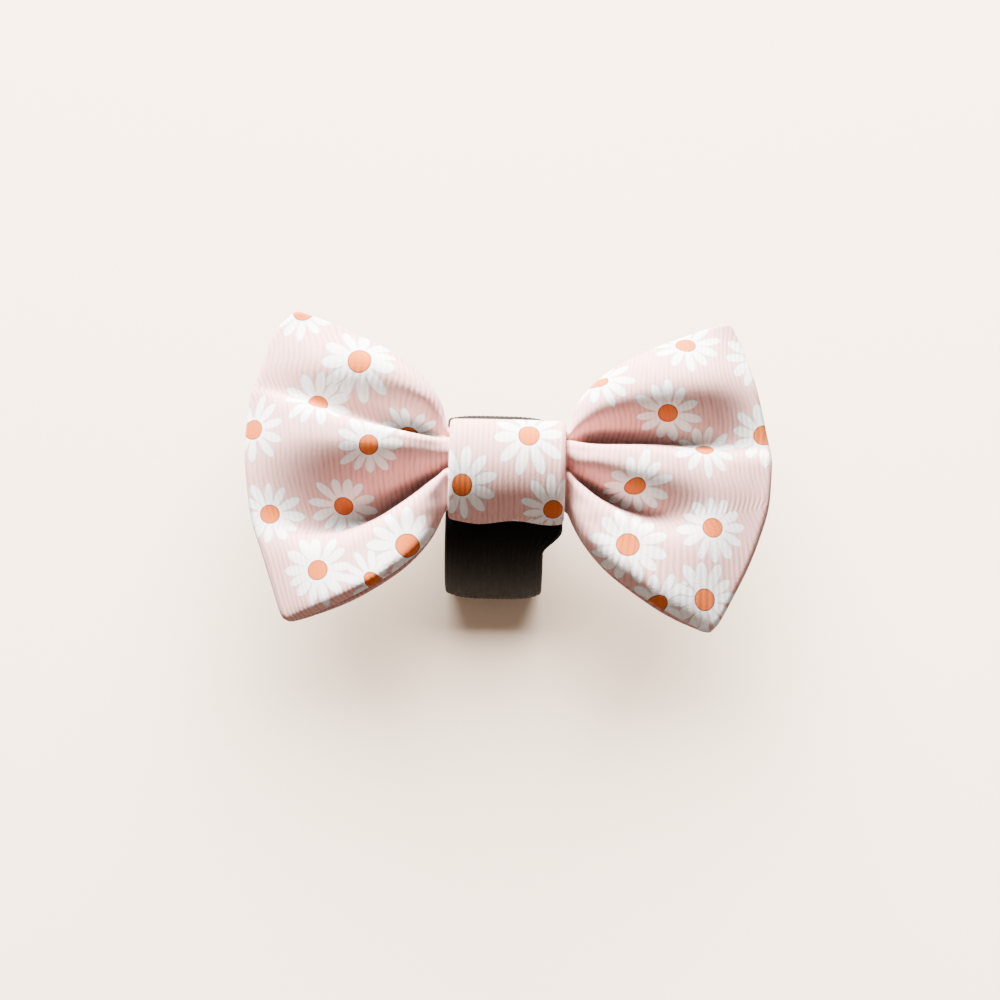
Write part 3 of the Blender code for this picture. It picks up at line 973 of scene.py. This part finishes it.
def write_print(obj, flowers, places_of, cloth_u, cloth_v):
    """Give each face its two nearest daisies, and the map of the ribs."""
    mesh = obj.data
    face_count = len(mesh.polygons)
    corners = read_all(mesh.loops, "vertex_index")
    starts = read_all(mesh.polygons, "loop_start")
    face_of = np.repeat(np.arange(face_count), read_all(mesh.polygons, "loop_total"))
    all_places = [places_of(flower) for flower in flowers]
    all_away = np.array([np.maximum.reduceat(np.linalg.norm(places, axis=1)[corners], starts)
                         for places in all_places])
    chosen = np.argsort(all_away, axis=0, kind="stable")[:2]
    best = np.take_along_axis(all_away, chosen, axis=0)
    for layer, name in enumerate(("daisy_a", "daisy_b")):
        places = np.full((len(corners), 2), FAR)
        looks = np.zeros((face_count, 3))
        for number, flower in enumerate(flowers):
            faces = (chosen[layer] == number) & (best[layer] < DRAWN_REACH)
            mine = faces[face_of]
            places[mine] = all_places[number][corners[mine]]
            looks[faces] = (flower.petals, flower.turn, number * SEED_STEP)
        uv_map = mesh.uv_layers.new(name=name)
        uv_map.uv.foreach_set("vector", places.astype(np.float32).ravel())
        kept = mesh.attributes.new(name + "_looks", "FLOAT_VECTOR", "FACE")
        kept.data.foreach_set("vector", looks.astype(np.float32).ravel())
    weave = mesh.uv_layers.new(name="weave")
    weave_places = np.stack((cloth_u[corners], cloth_v[corners]), axis=1)
    weave.uv.foreach_set("vector", weave_places.astype(np.float32).ravel())
    print(obj.name, "has", int((best[0] < DRAWN_REACH).sum()), "of", face_count, "faces near a daisy")


# %% Print the bow and the band
# The ribs stand upright near the band and lean a little on the outer wings, which fan out
RIB_LEAN = math.tan(math.radians(10))
LEAN_START = 0.018
LEAN_FULL = 0.044
# Two daisies behind the band: a share of the way round from its first one, and a place across it
BEHIND_THE_BAND = ((0.40, -0.006), (0.53, 0.004))
# Two places on the band's front, above and below its middle, tell which way its path runs
PROBE_Y = 0.005
PROBE_Z = 0.006

lean = RIB_LEAN * ramp(np.abs(strip[:, :, 0]), LEAN_START, LEAN_FULL) * strip[:, :, 1]
front_sign = np.where(row_is_front, 1.0, -1.0)[:, None]
rib_places = ((along_cloth + lean * front_sign) / MM)[:, column_of].ravel()
down_places = (down_cloth / MM)[:, column_of].ravel()
write_print(bow, bow_flowers, bow_places, rib_places, down_places)

band_points = np.array([vertex.co for vertex in band.data.vertices]) - np.array((0, 0, BOW_MIDDLE))
oval_closed = np.vstack((oval, oval[:1]))
oval_angles = np.unwrap(np.arctan2(oval_closed[:, 2], oval_closed[:, 1]))
oval_along = length_along(oval_closed)
band_length = float(oval_along[-1])


def band_along(points):
    """How far round the band points are, in metres, from the start of its path."""
    angles = np.arctan2(points[:, 2], points[:, 1])
    order = np.argsort(oval_angles)
    wanted = (angles - oval_angles.min()) % math.tau + oval_angles.min()
    return np.interp(wanted, oval_angles[order], oval_along[order])


band_round = band_along(band_points)
upper_probe, lower_probe = band_along(np.array(((0, PROBE_Y, PROBE_Z), (0, -PROBE_Y, PROBE_Z))))
direction = 1.0 if upper_probe > lower_probe else -1.0
BandFlower = namedtuple("BandFlower", "x along petals turn size")
flowers_round_band = []
for place, petals, turn, size, aside, above in band_flowers:
    point = np.array(place)[None, :] - np.array((0, 0, BOW_MIDDLE))
    along = band_along(point)[0] + direction * above
    flowers_round_band.append(BandFlower(point[0, 0] + aside, along, petals, turn, size))
first_along = flowers_round_band[0].along
for share, x in BEHIND_THE_BAND:
    along = (first_along + share * band_length) % band_length
    flowers_round_band.append(BandFlower(x, along, petals=12, turn=0.4, size=1.0))


def band_places(flower):
    aside = band_points[:, 0] - flower.x
    above = direction * ((band_round - flower.along + band_length / 2) % band_length - band_length / 2)
    return np.stack((aside, above), axis=1) / MM / flower.size


write_print(band, flowers_round_band, band_places, band_points[:, 0] / MM, direction * band_round / MM)

# %% [markdown]
# ## The printed cotton
# The real cloth is a light cotton with fine upright ribs, printed in a pale pink with white daisies
# that have soft grey lines between their petals and an orange middle with a brown rim. It has no
# gloss, only the soft bloom of its fibres. The daisy is a node group, used once for each of the two
# maps. It works in turns round the middle: a whole number is a petal's place in the flower. Sizes
# in it are millimetres of cloth.

# %% Daisy nodes
PETAL_REACH = 6.5
PETAL_HALF_WIDTH = 1.12
PETAL_LINE = 0.42
PETAL_JITTER = 0.26
CENTRE_RADIUS = 1.95
CENTRE_RIM = 0.34
CENTRE_BLUR = 0.06
BASE_RING = 2.55
BASE_BLUR = 0.3
# Near the middle the lines between the petals are faint
LINE_FADE = {"From Min": 2.1, "From Max": 3.2, "To Min": 0.15, "To Max": 1.0}
# A petal's outline: shares of the way from the flower's middle to the tip, and of the half width
PETAL_OUTLINE = ((0.0, 0.40), (0.35, 0.66), (0.66, 1.0), (0.84, 0.88), (0.95, 0.52), (1.0, 0.0))

tree = bpy.data.node_groups.new("daisy", "ShaderNodeTree")
for name in ("Place", "Looks"):
    tree.interface.new_socket(name, in_out="INPUT", socket_type="NodeSocketVector")
for name in ("Petal", "Line", "Centre", "Rim"):
    tree.interface.new_socket(name, in_out="OUTPUT", socket_type="NodeSocketFloat")
given = add(tree, "NodeGroupInput").outputs
place = add(tree, "ShaderNodeSeparateXYZ", given["Place"]).outputs
petals, turned, seed = add(tree, "ShaderNodeSeparateXYZ", given["Looks"]).outputs
away = add(tree, VECTOR_MATH, given["Place"], operation="LENGTH").outputs["Value"]
turns = chain(tree, place["Y"], ("ARCTAN2", place["X"]), ("SUBTRACT", turned), ("DIVIDE", math.tau),
              ("MULTIPLY", petals), ("ADD", 0.5), ("FLOORED_MODULO", petals))
petal_number = add(tree, "FLOOR", turns)
petal_seed = add(tree, "ShaderNodeCombineXYZ", {"X": petal_number, "Y": seed})
chance = add(tree, "ShaderNodeTexWhiteNoise", {"Vector": petal_seed}, noise_dimensions="3D")
chance = add(tree, "ShaderNodeSeparateColor", chance.outputs["Color"]).outputs
jitter = chain(tree, chance["Red"], ("SUBTRACT", 0.5), ("MULTIPLY", PETAL_JITTER))
off_angle = chain(tree, turns, ("SUBTRACT", petal_number), ("SUBTRACT", 0.5), ("ADD", jitter),
                  ("DIVIDE", petals), ("MULTIPLY", math.tau))
sideways, outwards = [
    add(tree, "MULTIPLY", add(tree, curve, off_angle), away)
    for curve in ("SINE", "COSINE")]
sideways = add(tree, "ABSOLUTE", sideways)
reach, widest = [
    add(tree, MAP_RANGE, {"Value": chance[channel], "To Min": size * least, "To Max": size * most})
    for channel, size, least, most in (("Green", PETAL_REACH, 0.90, 1.08),
                                       ("Blue", PETAL_HALF_WIDTH, 0.86, 1.10))]
share = add(tree, "DIVIDE", outwards, reach)
width_curve = add(tree, "ShaderNodeFloatCurve", {"Value": share})
points = width_curve.mapping.curves[0].points
points[0].location = PETAL_OUTLINE[0]
points[1].location = PETAL_OUTLINE[-1]
for location in PETAL_OUTLINE[1:-1]:
    points.new(*location)
width_curve.mapping.update()
half_width = add(tree, "MULTIPLY", width_curve, widest)
inside = add(tree, "SUBTRACT", half_width, sideways)
# What each part of the flower is measured by, from where to where, and its strength at both ends
FLOWER_PARTS = (
    (inside, -0.05, 0.10, 0.0, 1.0),
    (away, BASE_RING - BASE_BLUR, BASE_RING, 1.0, 0.0),
    (inside, 0.02, PETAL_LINE, 1.0, 0.0),
    (away, CENTRE_RADIUS - CENTRE_BLUR, CENTRE_RADIUS + CENTRE_BLUR, 1.0, 0.0),
    (away, CENTRE_RADIUS - CENTRE_RIM, CENTRE_RADIUS, 0.0, 1.0),
)
petal, base, line, centre, rim = [
    add(tree, MAP_RANGE, {"Value": measure, "From Min": start, "From Max": end, "To Min": first,
                          "To Max": last}, interpolation_type="SMOOTHSTEP")
    for measure, start, end, first, last in FLOWER_PARTS]
petal = add(tree, "MAXIMUM", petal, base)
fade = add(tree, MAP_RANGE, {"Value": away, **LINE_FADE})
line = add(tree, "MULTIPLY", line, fade)
add(tree, "NodeGroupOutput", {"Petal": petal, "Line": line, "Centre": centre, "Rim": rim})
daisy_tree = tree
print("daisy group:", len(daisy_tree.nodes), "nodes")

# %% Cotton nodes
# Ribs in the real cloth are about a millimetre apart. The threads between them are drawn as coarse
# as the picture needs to show them. Scales are in turns per millimetre of cloth.
RIB_PITCH = 1.0
RIB_DEPTH = 0.00007
RIB_WANDER = 0.14
WANDER_SCALE = 0.35
GROOVE_EDGE = 0.35
# The shade painted into the grooves between the ribs is stronger along some ribs than others, in streaks
# along them
STREAK_SCALE = (1.1, 0.22, 1.0)
STREAK_RANGE = {"From Min": 0.35, "From Max": 0.62, "To Min": 0.08, "To Max": 0.60}
THREAD_SCALE = 3.2
LINE_STRENGTH = 0.75
# The petals take this share of the shade painted in the rib grooves
PETAL_GROOVE_SHADE_SHARE = 0.30
PINK = "E4B2AA"
# Painted shade: the colour of the pink in the grooves between the ribs
PINK_GROOVE_SHADE = "C3837A"
PETAL_WHITE = "FBF8F5"
PETAL_GREY = "A09897"
CENTRE_ORANGE = "C8601E"
CENTRE_BROWN = "6E3320"
# Deep in the folds little light comes back off the cloth, so shade is painted into its colour there,
# by how many millimetres it lies below the cloth beside it
FOLD_PAINTED_SHADE = "8A9A9C"
FOLD_START = 1.2
FOLD_FULL = 5.0
FOLD_SHADE_STRENGTH = 0.85


def nodes_of(material):
    """A material's node tree and the shader that it comes with."""
    material.use_nodes = True
    return material.node_tree, material.node_tree.nodes["Principled BSDF"]


tree, shader = nodes_of(cloth)
weave = add(tree, "ShaderNodeUVMap", uv_map="weave")
weave_place = add(tree, "ShaderNodeSeparateXYZ", weave)
wander = add(tree, "ShaderNodeTexNoise", {"Vector": weave, "Scale": WANDER_SCALE, "Detail": 1.0})
wander = add(tree, MAP_RANGE, {"Value": wander.outputs[0], "To Min": -RIB_WANDER, "To Max": RIB_WANDER})
rib = chain(tree, weave_place.outputs["X"], ("ADD", wander), ("MULTIPLY", math.tau / RIB_PITCH),
            ("COSINE", 0.0))
groove = add(tree, MAP_RANGE, {"Value": rib, "From Min": GROOVE_EDGE, "From Max": -1.0},
             interpolation_type="SMOOTHSTEP")
streak_place = add(tree, VECTOR_MATH, weave, STREAK_SCALE, operation="MULTIPLY")
streak = add(tree, "ShaderNodeTexNoise", {"Vector": streak_place, "Scale": 1.0, "Detail": 2.0})
streak = add(tree, MAP_RANGE, {"Value": streak.outputs[0], **STREAK_RANGE})
# Painted shade in the grooves between the ribs, on the pink and more faintly on the petals
rib_groove_shade = add(tree, "MULTIPLY", groove, streak)
petal_groove_shade = add(tree, "MULTIPLY", rib_groove_shade, PETAL_GROOVE_SHADE_SHARE)
colour = mixed(tree, rib_groove_shade, linear(PINK), linear(PINK_GROOVE_SHADE))
for layer in ("daisy_b", "daisy_a"):
    looks = add(tree, "ShaderNodeAttribute", attribute_name=layer + "_looks").outputs["Vector"]
    flower = add(tree, "ShaderNodeGroup", node_tree=daisy_tree)
    feed(tree, flower, {"Place": add(tree, "ShaderNodeUVMap", uv_map=layer), "Looks": looks})
    flower = flower.outputs
    # The petals' grey is their printed lines together with the shade painted in the rib grooves
    line = add(tree, "MULTIPLY", flower["Line"], LINE_STRENGTH)
    grey = add(tree, "MAXIMUM", line, petal_groove_shade)
    petal = mixed(tree, grey, linear(PETAL_WHITE), linear(PETAL_GREY))
    centre = mixed(tree, flower["Rim"], linear(CENTRE_ORANGE), linear(CENTRE_BROWN))
    colour = mixed(tree, flower["Petal"], colour, petal)
    colour = mixed(tree, flower["Centre"], colour, centre)
# Painted shade in the folds: the deeper the cloth lies in a fold, the darker its colour is made
depth = add(tree, "ShaderNodeAttribute", attribute_name="fold_depth")
depth = add(tree, MAP_RANGE, {"Value": depth.outputs["Fac"], "From Min": FOLD_START, "From Max": FOLD_FULL,
                              "To Min": 0.0, "To Max": FOLD_SHADE_STRENGTH}, interpolation_type="SMOOTHSTEP")
colour = mixed(tree, depth, colour, linear(FOLD_PAINTED_SHADE), blend_type="MULTIPLY")
thread = add(tree, "ShaderNodeTexNoise", {"Vector": weave, "Scale": THREAD_SCALE, "Detail": 2.0})
height = chain(tree, rib, ("MULTIPLY", 0.5), ("ADD", thread))
bump = add(tree, "ShaderNodeBump", {"Height": height, "Strength": 0.8, "Distance": RIB_DEPTH})
# Cotton scatters light: it is rough, hardly mirrors, and blooms a little where it is seen aslant
feed(tree, shader, {"Base Color": colour, "Normal": bump, "Roughness": 0.88, "Specular IOR Level": 0.25,
                    "Sheen Weight": 0.12, "Sheen Roughness": 0.5})
bow.data.materials.append(cloth)
print("cotton:", len(tree.nodes), "nodes")

# %% [markdown]
# ## The elastic
# Braided polyester over rubber: near black, with a dull sheen that shows only where light rakes
# along it. The ribs are in the mesh, so the nodes add the uneven tone of the yarns between them.

# %% Elastic nodes
# A yarn is 0.7 mm wide
YARN_WIDTH = 0.0007
YARN_RELIEF = 0.0001
YARN_DARK = "070605"
YARN_LIGHT = "0F0D0B"
tree, shader = nodes_of(braid)
place = add(tree, "ShaderNodeTexCoord").outputs["Object"]
yarns = add(tree, "ShaderNodeTexNoise", {"Vector": place, "Scale": 1 / YARN_WIDTH, "Detail": 2.0}).outputs[0]
tone = mixed(tree, yarns, linear(YARN_DARK), linear(YARN_LIGHT))
bump = add(tree, "ShaderNodeBump", {"Height": yarns, "Strength": 0.5, "Distance": YARN_RELIEF})
feed(tree, shader, {"Base Color": tone, "Normal": bump, "Roughness": 0.80, "Specular IOR Level": 0.15})
print("elastic:", len(tree.nodes), "nodes")

# %% [markdown]
# ## Floor and light
# In the photo the light comes low over the bow's upper edge, so the cloth that faces the lower edge
# falls into warm shade, and the ground is pale and evenly lit. One lamp alone gives only one of the
# two. So the bow has a small low lamp of its own, the floor has a wide high one, and light linking
# keeps each to its own. A dim warm sky fills the shade.

# %% Stage
FLOOR_SIDE = 3.0
PAPER = "F3DCC4"
LAMP_DISTANCE = 0.9
Lamp = namedtuple("Lamp", "name energy size elevation turn")
BOW_LAMP = Lamp("bow_lamp", 130.0, 0.36, 21, -14)
FLOOR_LAMP = Lamp("floor_lamp", 132.0, 1.10, 42, 0)
LAMP_COLOUR = (1.0, 0.985, 0.97)
SKY_COLOUR = "FFE9DC"
SKY_STRENGTH = 0.40

half = FLOOR_SIDE / 2
floor_corners = ((-half, -half, 0), (half, -half, 0), (half, half, 0), (-half, half, 0))
floor = mesh_object("floor", np.array(floor_corners), np.array(((0, 1, 2, 3),)))
paper = bpy.data.materials.new("matt_white_paper")
feed(*nodes_of(paper), {"Base Color": linear(PAPER), "Roughness": 0.9, "Specular IOR Level": 0.1})
floor.data.materials.append(paper)
floor.visible_diffuse = False


def place_lamp(lamp, lit):
    """A square soft lamp that shines on some pieces only."""
    data = bpy.data.lights.new(lamp.name, "AREA")
    data.size = lamp.size
    data.energy = lamp.energy
    data.color = LAMP_COLOUR
    made = placed(lamp.name, data)
    elevation = math.radians(lamp.elevation)
    turn = math.radians(lamp.turn)
    towards = Vector((math.sin(turn) * math.cos(elevation), math.cos(turn) * math.cos(elevation),
                      math.sin(elevation)))
    made.location = Vector((0, 0, BOW_MIDDLE)) + towards * LAMP_DISTANCE
    made.rotation_mode = "QUATERNION"
    made.rotation_quaternion = towards.to_track_quat("Z", "Y")
    receivers = bpy.data.collections.new("lit_by_" + lamp.name)
    for piece in lit:
        receivers.objects.link(piece)
    made.light_linking.receiver_collection = receivers


place_lamp(BOW_LAMP, (bow, band, elastic))
place_lamp(FLOOR_LAMP, (floor,))

world = bpy.data.worlds.new("soft_sky")
world.use_nodes = True
sky = world.node_tree.nodes["Background"]
feed(world.node_tree, sky, {"Color": linear(SKY_COLOUR), "Strength": SKY_STRENGTH})
bpy.context.scene.world = world
print("lamps:", BOW_LAMP, FLOOR_LAMP)

# %% [markdown]
# ## The pieces on their body
# Each piece rides on the one body and stands for its solid, which is hidden. All three
# are cloth, and each prints how large it was cut flat.

# %% Pieces, bodies and cloth
PIECES = (
    (bow, "bow", "bow_fabric", (strip_width, strip_length), "folded", ["centre_band"]),
    (band, "centre_band", "band_fabric", (BAND_WIDTH, band_length), "folded", ["bow"]),
    (elastic, "elastic_loop", "black_elastic", (ELASTIC_WIDTH, elastic_length), "folded", ["centre_band"]),
)
for piece, node_name, slot_name, flat, held, rests_on in PIECES:
    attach(piece, "root")
    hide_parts(node_name)
    print(piece.name, "flat", [round(side / MM, 1) for side in flat], "mm")
